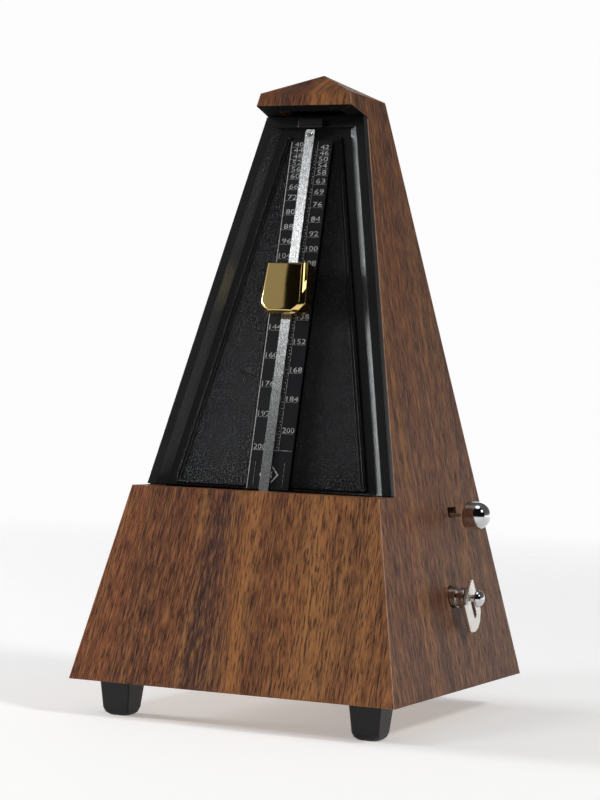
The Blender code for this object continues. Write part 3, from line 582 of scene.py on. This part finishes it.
# foil line that closes the seam under the roof cap
bm = bmesh.new()
rows = []
for z, r in ((-0.42, 0.05), (0.12, 0.12)):
    hw, hd = EAVE_HW - r * MM, EAVE_HD - r * MM
    rows.append([Vector((OX + a * hw, b * hd, OZ + EAVE_Z + z * MM))
                 for a, b in ((-1, -1), (1, -1), (1, 1), (-1, 1))])
piece("eave_line", bar(bm, rows), "case", wood_front)
for sx, tag in ((-1, "left"), (1, "right")):
    corner_line("corner_line_front_" + tag, sx, -1, SEAM_END, ledge - SEAM_END)
    corner_line("corner_line_header_" + tag, sx, -1, EAVE_Z - 4.2 * MM, EAVE_Z - GAP)
    corner_line("corner_line_back_" + tag, sx, 1, SEAM_END, EAVE_Z - GAP)

for tag in ("front_left", "front_right", "rear"):
    bm = welded("foot_" + tag)
    for f in bm.faces:
        f.material_index = 0
    soften(bm, 0.5 * MM, 3, 22, -1, lambda e: e.calc_length() > 1.2 * MM
           and max(v.co.z for v in e.verts) > 1 * MM)
    soften(bm, 1.7 * MM, 6, 22, -1, lambda e: max(v.co.z for v in e.verts) < 0.1 * MM)
    piece("foot_" + tag + "_finish", bm, "case", rubber, ("foot_" + tag,))

# ---------------------------------------------------------------------------
# Black frame, grained panel halves and their ribs
# ---------------------------------------------------------------------------
def inset_x(s, d, inset):
    """A place across the front, inset from the case's outer side."""
    return half_width(s, d) - inset


bm = welded("scale_frame")
soften(bm, 0.22 * MM, 2, 22, -1, lambda e: e.calc_length() > 5 * MM)
for f in bm.faces:
    n = f.normal
    if 0.25 < abs(n.x) < 0.9 and n.y < -0.3 and f.calc_area() > 1e-5:
        f.material_index = 1
piece("scale_frame_finish", bm, "case", [black, slope_grain], ("scale_frame",))

_, p_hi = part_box("scale_panel")
PANEL_D = RECESS + 1.1 * MM
PANEL_TOP = (p_hi.z - OZ + PANEL_D * SF) / CF
PANEL_LOW = (ledge + PANEL_D * SF) / CF + 1.3 * MM
PANEL_INNER, PANEL_MARGIN, PANEL_T = 8.05 * MM, 9.25 * MM, 0.75 * MM


bm = bmesh.new()
for sx in (-1, 1):
    pts = [(PANEL_INNER, PANEL_LOW), (inset_x(PANEL_LOW, PANEL_D, PANEL_MARGIN), PANEL_LOW),
           (inset_x(PANEL_TOP, PANEL_D, PANEL_MARGIN), PANEL_TOP), (PANEL_INNER, PANEL_TOP)]
    pts = round_corners(pts, (1.2 * MM, 1.0 * MM, 0.5 * MM, 0.3 * MM))
    half = bmesh.new()
    bar(half, [[at_face(sx * x, d, s) for x, s in pts]
               for d in (PANEL_D, PANEL_D + PANEL_T)])
    bmesh.ops.recalc_face_normals(half, faces=half.faces)
    soften(half, 0.2 * MM, 2, 60)
    tmp = bpy.data.meshes.new("t")
    half.to_mesh(tmp)
    half.free()
    bm.from_mesh(tmp)
    bpy.data.meshes.remove(tmp)
piece("scale_panel_halves", bm, "case", grained, ("scale_panel",))


def rib(bm, line, width, height, base_d):
    """Low rounded rib along a line of (x, s) points on the panel."""
    rows = []
    for (x, s) in line:
        rows.append([at_face(x + u * width / 2, base_d - h * height, s)
                     for u, h in ((-1, -0.6), (-1, 0.15), (-0.5, 0.85), (0, 1), (0.5, 0.85),
                                  (1, 0.15), (1, -0.6))])
    bar(bm, rows)


bm = bmesh.new()
for sx in (-1, 1):
    for inset, w, h in ((10.15, 0.34, 0.22), (11.2, 0.26, 0.16)):
        rib(bm, [(sx * inset_x(s, PANEL_D, inset * MM), s)
                 for s in (PANEL_LOW + 1.2 * MM, PANEL_TOP - 0.8 * MM)],
            w * MM, h * MM, PANEL_D)
piece("scale_panel_ribs", bm, "case", black)

# painted shade: a near-black sheet behind the frame, so that no wood shows through its seams
bm = bmesh.new()
for sx in (-1, 1):
    rows = []
    for s in (64 * MM, 190 * MM):
        x = half_width(s, RECESS) - 0.25 * MM
        rows.append([at_face(sx * (x - u), RECESS + v, s)
                     for u, v in ((0.0, 1.75 * MM), (0.0, 1.98 * MM), (5.2 * MM, 1.98 * MM),
                                  (5.2 * MM, 1.75 * MM))])
    bar(bm, rows)
piece("frame_seam_shade", bm, "case", dark.m)

# ---------------------------------------------------------------------------
# Number strip: two columns of tempo numbers where the weight's top edge stands
# ---------------------------------------------------------------------------
rework("number_strip", 0.14 * MM, strip_black)
rework("rod_catch", 0.3 * MM, black, segments=3)
STRIP_D = RECESS + 0.3 * MM
LEFT = (40, 44, 48, 52, 56, 60, 66, 72, 80, 88, 96, 104, 112, 120, 132, 144, 160, 176, 192, 208)
RIGHT = (42, 46, 50, 54, 58, 63, 69, 76, 84, 92, 100, 108, 116, 126, 138, 152, 168, 184, 200)


GRAVITY = 9810                       # mm/s2
REST_INERTIA = 9171.7                # mm2, rod and bob, for each unit of the weight's mass
BOB_MOMENT = 138.46                  # mm, about the pivot, for each unit of that mass
SCALE_FOOT, SCALE_STRETCH = 62.04, 0.9824    # mm up the slope, and what fits the scale seen
SUNK = 0.03 * MM                     # how far printed shapes reach into the strip


def mark(beat):
    """Height up the slope of a number's line: where a weight would have to stand on a
    pendulum with that many beats a minute, stretched to fit the scale seen."""
    w, g = math.pi * beat / 60, GRAVITY * math.cos(TILT)
    x = (math.sqrt(g * g - 4 * w * w * (REST_INERTIA * w * w - BOB_MOMENT * g)) - g) / (2 * w * w)
    return (SCALE_FOOT + SCALE_STRETCH * x) * MM


def flat(bm, x0, x1, s0, s1, lift=0.05 * MM):
    """Thin bar on the strip, between two places across and two up: print, and once a painted
    highlight.
    """
    corners = ((x0, s0), (x1, s0), (x1, s1), (x0, s1))
    bar(bm, [[at_face(x, d, s) for x, s in corners] for d in (STRIP_D - lift, STRIP_D + SUNK)])


def lettering(bm, text, x, s, height, width):
    """Number of a given height and width, centred at x, standing on s."""
    cu = bpy.data.curves.new("t", "FONT")
    cu.body = text
    cu.size = 1.0
    cu.resolution_u = 2
    cu.extrude = 0.02
    cu.offset = -0.004
    cu.align_x = "CENTER"
    ob = bpy.data.objects.new("t", cu)
    scene.collection.objects.link(ob)
    deps = bpy.context.evaluated_depsgraph_get()
    me = bpy.data.meshes.new_from_object(ob.evaluated_get(deps))
    xs = [v.co.x for v in me.vertices]
    ys = [v.co.y for v in me.vertices]
    kx, ky = width / (max(xs) - min(xs)), height / (max(ys) - min(ys))
    mid = (max(xs) + min(xs)) / 2
    low = min(ys)
    for v in me.vertices:
        side = 1 if v.co.z > 0 else -1
        v.co = at_face(x + (v.co.x - mid) * kx, STRIP_D - side * SUNK, s + (v.co.y - low) * ky)
    bm.from_mesh(me)
    bpy.data.meshes.remove(me)
    bpy.data.objects.remove(ob)
    bpy.data.curves.remove(cu)


bm = bmesh.new()
for column, sx in ((LEFT, -1), (RIGHT, 1)):
    for i, beat in enumerate(column):
        s = mark(beat)
        over = mark(column[i - 1]) - s if i else 2.0 * MM
        h = min(1.75 * MM, over * 0.74)
        wide = (1.15 if beat < 100 else 0.98) * len(str(beat)) * min(h, 1.6 * MM)
        lettering(bm, str(beat), (sx * 4.83 + 0.23) * MM, s + 0.28 * MM, h, wide * 0.92)
piece("tempo_numbers", bm, "case", ink_and_edge_highlight, smooth=None)

line_mat = Mat("line_ink", Roughness=0.5)
line_grain = line_mat.noise(line_mat.place(), 1100, 3, 0.65)
line_mat.set(Base_Color=line_mat.ramp(line_grain, [(0.38, (0.07, 0.072, 0.075)),
                                                   (0.62, (0.34, 0.34, 0.34))]),
             Normal=line_mat.bump(line_grain, 0.2, 0.0001))
bm = bmesh.new()
foot_s = (ledge + STRIP_D * SF) / CF + 0.4 * MM
top_s = 188.6 * MM
end_s = mark(LEFT[-1])
for sx in (-1, 1):
    for beat in (LEFT if sx < 0 else RIGHT):
        s = mark(beat)
        x0, x1 = sorted((sx * 2.45 * MM, sx * 7.15 * MM))
        flat(bm, x0, x1, s - 0.07 * MM, s + 0.07 * MM, 0.03 * MM)
    x = sx * 2.42 * MM
    flat(bm, x - 0.09 * MM, x + 0.09 * MM, end_s, top_s, 0.04 * MM)
    x = sx * 5.3 * MM
    flat(bm, x - 0.06 * MM, x + 0.06 * MM, foot_s + 1.0 * MM, end_s - 4.0 * MM, 0.03 * MM)
flat(bm, -7.2 * MM, 7.2 * MM, end_s - 0.1 * MM, end_s + 0.1 * MM, 0.035 * MM)
piece("strip_lines", bm, "case", line_mat.m, smooth=None)

bm = bmesh.new()
# pale bar along the strip's left edge: a painted highlight, where that edge catches the light
x = -7.38 * MM
flat(bm, x - 0.13 * MM, x + 0.13 * MM, foot_s, top_s, 0.05 * MM)
# a plain lozenge outline with a dot, low on the strip
c_s = end_s - 8.2 * MM
for k in range(4):
    a0, a1 = math.radians(90 * k), math.radians(90 * k + 90)
    p = [Vector((3.5 * math.cos(t) * r, 4.3 * math.sin(t) * r)) * MM
         for t, r in ((a0, 1), (a1, 1), (a1, 0.84), (a0, 0.84))]
    bar(bm, [[at_face(q.x, d, c_s + q.y) for q in p]
             for d in (STRIP_D - 0.05 * MM, STRIP_D + SUNK)])
lathe(bm, OUTWARD, at_face(0, STRIP_D, c_s),
      [(0.9 * MM, -0.03 * MM), (0.9 * MM, 0.04 * MM), (0.6 * MM, 0.06 * MM), (0, 0.06 * MM)], 20)
piece("strip_ornament_and_edge_highlight", bm, "case", ink_and_edge_highlight, smooth=None)

# the raised dots are coloured pale: a painted glint on them
dot_mat = Mat("dot_painted_glint", Roughness=0.4)
dot_grain = dot_mat.noise(dot_mat.place(), 900, 2, 0.6)
dot_mat.set(Base_Color=dot_mat.ramp(dot_grain, [(0.4, (0.10, 0.055, 0.03)),
                                                (0.6, (0.55, 0.50, 0.40))]))
bm = bmesh.new()
for sx in (-1, 1):
    s = end_s + 1.0 * MM
    k = 0
    while s < 187 * MM:
        lathe(bm, OUTWARD, at_face(sx * (1.75 + 0.22 * (k % 2)) * MM, STRIP_D, s),
              [(0.17 * MM, -0.03 * MM), (0.17 * MM, 0.04 * MM), (0.10 * MM, 0.10 * MM),
               (0, 0.12 * MM)], 8)
        s += 1.1 * MM
        k += 1
piece("strip_dots", bm, "case", dot_mat.m)

# ---------------------------------------------------------------------------
# Pendulum rod with its tempo notches and stamped eye
# ---------------------------------------------------------------------------
ROD_D0, ROD_D1, ROD_HALF = RECESS - 2.16 * MM, RECESS - 1.16 * MM, 1.83 * MM
rod_lo, rod_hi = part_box("pendulum_rod")
EYE_S = 190.4 * MM
rod_top = (rod_hi.z - OZ + ROD_D0 * SF) / CF
rod_low = (rod_lo.z - OZ + ROD_D1 * SF) / CF


def rod_ring(s, cut, end=0.0):
    """The rod's outline at a height: cut is a notch in its back, end a narrower tip."""
    c, k = 0.16 * MM, 0.08 * MM      # front and rear chamfers
    h, f, r = ROD_HALF - end, ROD_D0, ROD_D1 - cut
    return [at_face(x, d, s) for x, d in (
        (-h + k, r), (-h, r - k), (-h, f + c), (-h + c, f), (h - c, f), (h, f + c), (h, r - k),
        (h - k, r))]


rings = [rod_ring(rod_low, 0.0, end=0.25 * MM), rod_ring(rod_low + 0.25 * MM, 0.0)]
for beat in sorted(LEFT + RIGHT, reverse=True):
    s, w, deep = mark(beat), 0.16 * MM, 0.12 * MM
    if s + w > rod_top - 3.0 * MM:
        continue
    rings += [rod_ring(s - w, 0.0), rod_ring(s - w * 0.35, deep), rod_ring(s + w * 0.35, deep),
              rod_ring(s + w, 0.0)]
rings += [rod_ring(rod_top - 0.35 * MM, 0.0), rod_ring(rod_top, 0.0, end=0.35 * MM)]
piece("pendulum_rod_notched", bar(bmesh.new(), rings), "pendulum", rod_steel,
      ("pendulum_rod",), smooth=25)
bm = bmesh.new()
lathe(bm, OUTWARD, at_face(0, ROD_D0, EYE_S), rounded(
    [(1.12 * MM, -0.05 * MM), (1.08 * MM, 0.10 * MM), (0.80 * MM, 0.14 * MM),
     (0.62 * MM, -0.02 * MM)], 0.06 * MM), 40)
piece("rod_eye_rim", bm, "pendulum", rod_steel)
bm = bmesh.new()
lathe(bm, OUTWARD, at_face(0, ROD_D0, EYE_S),
      [(0.66 * MM, -0.04 * MM), (0.62 * MM, 0.03 * MM), (0.30 * MM, 0.09 * MM), (0, 0.10 * MM)], 32)
piece("rod_eye", bm, "pendulum", steel)

# ---------------------------------------------------------------------------
# Sliding weight
# ---------------------------------------------------------------------------
rework("tempo_weight", 0.30 * MM, gold, "tempo_slider", segments=2, smooth=50,
       where=lambda e: e.calc_length() > 3 * MM)
rework("weight_back", 0.2 * MM, gold, "tempo_slider")

# ---------------------------------------------------------------------------
# Selector and winding key
# ---------------------------------------------------------------------------
def turned_from(node):
    """Middle of the inner end, radius and length of a node turned about the X axis."""
    lo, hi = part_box(node)
    middle = Vector((lo.x, (lo.y + hi.y) / 2, (lo.z + hi.z) / 2))
    return middle, (hi.z - lo.z) / 2, hi.x - lo.x


kc, kr, kl = turned_from("selector_knob")
prof = [(0, 0.25 * MM), (kr - 1.5 * MM, 0), (kr - 0.35 * MM, 0.05 * MM), (kr, 0.7 * MM),
        (kr, 4.0 * MM)]
prof = rounded(prof, 0.35 * MM)
prof += [(kr * math.cos(t), 4.0 * MM + (kl - 4.0 * MM) * math.sin(t))
         for t in (math.radians(7.5 * i) for i in range(1, 12))] + [(0, kl)]
piece("selector_knob_turned", lathe(bmesh.new(), (1, 0, 0), kc, prof, 72), "selector", chrome,
      ("selector_knob",), smooth=60)
rework("selector_rod", 0.35 * MM, rod_steel, "selector", segments=3)

bc, br, bl = turned_from("key_boss")
prof = rounded([(br - 0.2 * MM, 0), (br, 0.3 * MM), (br, bl - 2.9 * MM),
                (br - 0.45 * MM, bl - 2.7 * MM), (br - 0.45 * MM, bl - 2.1 * MM),
                (br, bl - 1.9 * MM), (br, bl - 0.25 * MM), (br - 0.25 * MM, bl)], 0.12 * MM)
piece("key_boss_turned", lathe(bmesh.new(), (1, 0, 0), bc, prof, 64), "winder", chrome,
      ("key_boss",), smooth=50)
qc, qr, ql = turned_from("key_cap")
prof = rounded([(1.15 * MM, 0), (1.15 * MM, 1.35 * MM), (2.3 * MM, 1.45 * MM), (qr, 1.95 * MM)],
               0.3 * MM)
prof += [(qr * math.cos(t), 2.0 * MM + (ql - 2.0 * MM) * math.sin(t))
         for t in (math.radians(9 * i) for i in range(1, 10))] + [(0, ql)]
piece("key_cap_turned", lathe(bmesh.new(), (1, 0, 0), qc, prof, 56), "winder", chrome,
      ("key_cap",), smooth=60)
rim_metal = metal("polished_rim", (0.80, 0.75, 0.68), 0.16, (1, 1, 1), 0.04, 500)
rework("key_plate", 0.28 * MM, [nickel, rim_metal], "winder", segments=3, edge_mat=1,
       least=50)

# ---------------------------------------------------------------------------
# Floor, light, camera
# ---------------------------------------------------------------------------
FLOOR_SIDES = 64
bm = bmesh.new()
rings = []
for r in (0.5, 1.5, 3.0, 6.0):
    rings.append([bm.verts.new((r * math.cos(i * 2 * math.pi / FLOOR_SIDES),
                                r * math.sin(i * 2 * math.pi / FLOOR_SIDES), 0))
                  for i in range(FLOOR_SIDES)])
bm.faces.new(rings[0])
for a, b in zip(rings, rings[1:]):
    for i in range(FLOOR_SIDES):
        j = (i + 1) % FLOOR_SIDES
        bm.faces.new((a[i], b[i], b[j], a[j]))
me = bpy.data.meshes.new("floor")
bm.to_mesh(me)
bm.free()
floor_mat = Mat("floor", Base_Color=(0.95, 0.95, 0.95), Roughness=0.75,
         Emission_Color=(1.0, 1.0, 1.0), Emission_Strength=0.28)
far = floor_mat.t.nodes.new("ShaderNodeVectorMath")
far.operation = "LENGTH"
floor_mat.t.links.new(floor_mat.place(), far.inputs[0])
floor_mat.set(Specular_IOR_Level=0.1, Alpha=floor_mat.span(far.outputs["Value"], 0.25, 1.1, 1.0, 0.0))
me.materials.append(floor_mat.m)
floor = bpy.data.objects.new("floor", me)
scene.collection.objects.link(floor)

scene.view_settings.view_transform = "Standard"


def lamp(name, way, distance, size, power, colour):
    """Square area lamp some way off the object's middle, turned to it."""
    place = MID + way * distance
    data = bpy.data.lights.new(name, "AREA")
    data.shape = "RECTANGLE"
    data.size, data.size_y = size, size
    data.energy = power
    data.color = colour
    ob = bpy.data.objects.new(name, data)
    scene.collection.objects.link(ob)
    ob.location = place
    ob.rotation_euler = (MID - place).to_track_quat("-Z", "Y").to_euler()
    return ob


MID = Vector((OX, 0, 0.10))
KEY_WAY = Vector((0.76, -0.21, 0.62))
for ob in (lamp("key_right", KEY_WAY, 1.5, 0.26, 6.8, (1, 0.985, 0.96)),
           lamp("front_left", Vector((-0.334, -0.664, 0.669)), 1.7, 0.40, 3.9,
                (1, 0.99, 0.97))):
    ob.visible_glossy = False    # the room below holds the lights that reflections show
lamp("rake_left", Vector((-0.97, -0.11, 0.08)), 1.4, 0.46, 24, (0.96, 0.98, 1.0))

# ---------------------------------------------------------------------------
# Camera
# ---------------------------------------------------------------------------
AZ, EL, ROLL = math.radians(24.53), math.radians(0.19), math.radians(2.05)
back = Vector((math.sin(AZ) * math.cos(EL), -math.cos(AZ) * math.cos(EL), math.sin(EL)))
right0 = (-back).cross(Vector((0, 0, 1))).normalized()
up0 = right0.cross(-back)
right = right0 * math.cos(ROLL) + up0 * math.sin(ROLL)
up = -right0 * math.sin(ROLL) + up0 * math.cos(ROLL)
eye = Vector((0.32129, -0.72002, 0.10887))       # metres
cam_data = bpy.data.cameras.new("camera")
cam_data.sensor_width = 36
cam_data.lens = 103.83
cam_data.clip_start, cam_data.clip_end = 0.01, 50
cam = bpy.data.objects.new("camera", cam_data)
scene.collection.objects.link(cam)
cam.matrix_world = Matrix(((right.x, up.x, back.x, eye.x), (right.y, up.y, back.y, eye.y),
                           (right.z, up.z, back.z, eye.z), (0, 0, 0, 1)))
scene.camera = cam

# ---------------------------------------------------------------------------
# The world. Matt surfaces get an even light and the camera sees a pale background. Only
# reflections show the room, whose levels suit the camera's view: bright bands behind the
# object, and in front of it a wall whose edge falls in the polished weight.
# ---------------------------------------------------------------------------
AMBIENT, PALE = 0.26, (0.98, 0.98, 0.98, 1)
world = bpy.data.worlds.new("studio")
scene.world = world
world.use_nodes = True
sky = Nodes(world.node_tree)
spot = at_face(1.2 * MM, 1.2 * MM, 136 * MM)     # on the weight's front
mirror_eye = eye - OUTWARD * (2 * (eye - spot).dot(OUTWARD))
ray = (spot - mirror_eye).normalized()
edge_n = ray.cross(UP_SLOPE).normalized()
if edge_n.x > 0:
    edge_n = -edge_n                             # the wall is on the left of its edge

height = sky.along((0, 0, 1))
aside = sky.along(edge_n)
wall = sky.span(aside, -0.0010, 0.0010, 0.0, 0.30)
# two soft panels, one each side of the wall's edge, that light the brushed rod
panels = sky.steps(height, [(0.0, 0.03), (0.32, 0.05), (0.36, 0.12), (0.378, 0.26),
                            (0.398, 0.80), (0.415, 1.7), (0.435, 3.2), (0.450, 3.2),
                            (0.460, 1.9), (0.475, 1.5), (0.50, 0.5), (0.60, 0.15),
                            (1.0, 0.15)])
off_edge = sky.math("ABSOLUTE", sky.math("ADD", aside, -0.008))
open_to = sky.math("MULTIPLY", sky.span(off_edge, 0.036, 0.046, 0.0, 1.0),
                   sky.span(off_edge, 0.10, 0.14, 1.0, 0.0))
front_light = sky.math("ADD", sky.choose(open_to, wall, panels), 0.006)
# the backdrop is brightest near the ground
back_light = sky.steps(height, [(0.0, 1.5), (0.06, 0.9), (0.13, 0.16), (0.60, 0.10),
                                (1.0, 0.15)])
behind = sky.span(sky.along((0, 1, 0)), -0.10, 0.12, 0.0, 1.0)
room = sky.choose(behind, front_light, back_light)
left_side = sky.span(sky.along((-1, 0, 0)), 0.80, 0.92, 0.0, 1.0)
room = sky.math("ADD", room, left_side)
for aim, inner, outer, power in ((KEY_WAY, 0.990, 0.984, 2.5),
                                 (Vector((0.10, -0.15, 1.0)), 0.965, 0.955, 1.6),
                                 (Vector((-0.35, 0.91, 0.22)), 0.990, 0.970, 1.6)):
    room = sky.math("ADD", room, sky.span(sky.along(aim.normalized()), outer, inner, 0.0, power))

kind = sky.t.nodes.new("ShaderNodeLightPath")
light = sky.t.nodes["Background"]
light.inputs["Color"].default_value = (1, 1, 1, 1)
sky.put(light, "Strength", sky.choose(kind.outputs["Is Glossy Ray"], AMBIENT, room))
seen = sky.t.nodes.new("ShaderNodeBackground")
seen.inputs["Strength"].default_value = 1.0
seen.inputs["Color"].default_value = PALE
either = sky.t.nodes.new("ShaderNodeMixShader")
sky.put(either, 0, kind.outputs["Is Camera Ray"])
sky.put(either, 1, light.outputs[0])
sky.put(either, 2, seen.outputs[0])
sky.put(sky.t.nodes["World Output"], "Surface", either.outputs[0])

bpy.context.view_layer.update()
